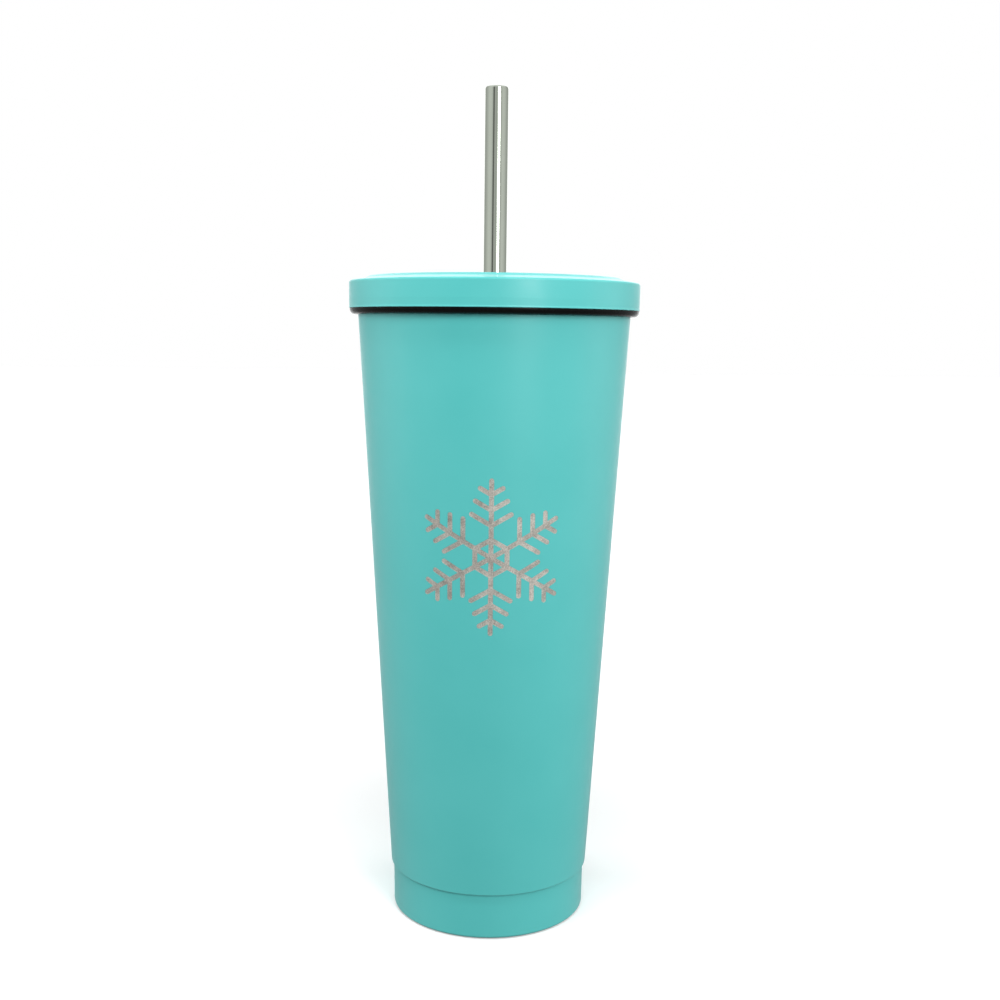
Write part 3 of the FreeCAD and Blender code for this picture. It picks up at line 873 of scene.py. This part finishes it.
def camera():
    """Camera just below the rim's height, tilted a little down and rolled a touch."""
    ahead = Vector((0.0, math.cos(CAMERA_PITCH), -math.sin(CAMERA_PITCH)))
    upright = Vector((0.0, math.sin(CAMERA_PITCH), math.cos(CAMERA_PITCH)))
    sideways = Vector((1.0, 0.0, 0.0))
    right = sideways * math.cos(CAMERA_ROLL) + upright * math.sin(CAMERA_ROLL)
    up = upright * math.cos(CAMERA_ROLL) - sideways * math.sin(CAMERA_ROLL)
    data = bpy.data.cameras.new("camera")
    data.lens = CAMERA_LENS
    data.clip_start, data.clip_end = CAMERA_NEAR, CAMERA_FAR
    made = bpy.data.objects.new("camera", data)
    made.matrix_world = Matrix((
        (right.x, up.x, -ahead.x, CAMERA_PLACE.x),
        (right.y, up.y, -ahead.y, CAMERA_PLACE.y),
        (right.z, up.z, -ahead.z, CAMERA_PLACE.z),
        (0.0, 0.0, 0.0, 1.0),
    ))
    bpy.context.scene.collection.objects.link(made)
    bpy.context.scene.camera = made


def softbox(name, bearing, distance, height, size, power, aim, mirrored=False):
    """Soft light at a bearing in degrees to the right of the front, aimed at a height in metres."""
    data = bpy.data.lights.new(name, "AREA")
    data.shape = "RECTANGLE"
    data.size, data.size_y = size
    data.energy = power
    made = bpy.data.objects.new(name, data)
    side = math.radians(bearing)
    place = Vector((math.sin(side) * distance, -math.cos(side) * distance, height))
    made.location = place
    made.rotation_euler = (Vector((0.0, 0.0, aim)) - place).to_track_quat("-Z", "Y").to_euler()
    made.visible_camera = False
    made.visible_glossy = mirrored
    bpy.context.scene.collection.objects.link(made)


# Brightness of the studio's walls by bearing, in degrees to the right of the front.
WALLS = (
    (-180, 2.20), (-165, 1.90), (-152, 0.55), (-125, 0.40), (-100, 0.52), (-74, 0.66), (-50, 0.64),
    (-38, 0.52), (-31, 0.16), (-23, 0.08), (-17, 0.46), (-5, 0.46), (2, 0.34), (5, 0.40),
    (10, 0.90), (35, 0.90), (43, 0.48), (64, 0.66), (90, 0.60), (110, 0.46), (128, 0.38),
    (152, 0.55), (165, 1.90), (180, 2.20),
)
# Brightness above and below them, for rays from matte surfaces and for all others, and how far up
# or down a ray has to point for the walls to start and to end fading into it.
CEILING, CEILING_MIRRORED, CEILING_FADE = 0.04, 0.75, (0.45, 0.85)
GROUND, GROUND_MIRRORED, GROUND_FADE = 0.10, 0.30, (-0.05, -0.35)


def studio_world():
    """White to the camera. To everything else, walls of uneven brightness round the object."""
    world = bpy.data.worlds.new("studio")
    bpy.context.scene.world = world
    world.use_nodes = True
    world.node_tree.nodes.clear()
    nodes = Nodes(world.node_tree)
    x, y, z = nodes.split(nodes.add("ShaderNodeTexCoord").outputs["Generated"])
    bearing = nodes.maths("ARCTAN2", x, nodes.times(y, -1.0))
    walls = nodes.add("ShaderNodeValToRGB")
    nodes.feed(walls.inputs[0], nodes.spread(bearing, -math.pi, math.pi, 0.0, 1.0))
    stops = walls.color_ramp.elements
    while len(stops) > 1:
        stops.remove(stops[-1])
    for number, (degrees, level) in enumerate(WALLS):
        share = (degrees + 180) / 360
        stop = stops.new(share) if number else stops[0]
        stop.position, stop.color = share, grey(level)
    ray = nodes.add("ShaderNodeLightPath").outputs
    ground = nodes.blend(ray["Is Diffuse Ray"], grey(GROUND_MIRRORED), grey(GROUND))
    ceiling = nodes.blend(ray["Is Diffuse Ray"], grey(CEILING_MIRRORED), grey(CEILING))
    lower = nodes.blend(nodes.spread(z, *GROUND_FADE, 0.0, 1.0), walls.outputs[0], ground)
    room = nodes.blend(nodes.spread(z, *CEILING_FADE, 0.0, 1.0), lower, ceiling)
    background = nodes.add("ShaderNodeBackground")
    nodes.feed(background.inputs["Color"], nodes.blend(ray["Is Camera Ray"], room, grey(1.0)))
    output = nodes.add("ShaderNodeOutputWorld")
    nodes.feed(output.inputs["Surface"], background.outputs[0])


FLOOR_HALF = 6.0
FLOOR_DROP = 0.2 * MM
# The floor glows from one radius to another, in metres, by so much at each, so it fades to white.
GLOW_RADII, GLOW_LEVELS = (0.10, 0.9), (0.18, 0.7)


def floor():
    """Pale floor that lies just under the foot."""
    half = FLOOR_HALF
    mesh = bpy.data.meshes.new("floor")
    corners = [(-half, -half, 0.0), (half, -half, 0.0), (half, half, 0.0), (-half, half, 0.0)]
    mesh.from_pydata(corners, [], [(0, 1, 2, 3)])
    finish = Finish("floor_card", Roughness=0.9)
    tone = finish.blend(finish.noise(3.0, 2.0), grey(0.86), grey(0.88))
    finish.set("Base Color", tone)
    finish.set("Emission Color", grey(1.0))
    finish.set("Emission Strength", finish.spread(finish.radius(), *GLOW_RADII, *GLOW_LEVELS))
    mesh.materials.append(finish.material)
    made = bpy.data.objects.new("floor", mesh)
    made.location.z = -FLOOR_DROP
    made.visible_diffuse = made.visible_glossy = False
    bpy.context.scene.collection.objects.link(made)


camera()
studio_world()
floor()
softbox("key", bearing=27.0, distance=1.2, height=0.64, size=(0.34, 0.90), power=6.4, aim=0.30,
        mirrored=True)
softbox("fill", bearing=-12.0, distance=0.50, height=0.56, size=(0.7, 0.3), power=1.7, aim=0.20)
softbox("top", bearing=-8.0, distance=0.24, height=0.90, size=(0.4, 0.12), power=2.5, aim=0.20)
softbox("fill_left", bearing=-98.0, distance=0.8, height=0.36, size=(0.5, 0.7), power=3.7,
        aim=0.12)
softbox("fill_right", bearing=100.0, distance=0.8, height=0.36, size=(0.5, 0.7), power=3.0,
        aim=0.12)

outer_shell()
base_cup()
base_plate()
liner_wall()
liner_floor()
lid_cover()
lid_body()
lid_gasket()
straw_grommet()
straw()
straw_stop_ring()
hidden_pieces()

bpy.context.scene.view_settings.view_transform = "Standard"
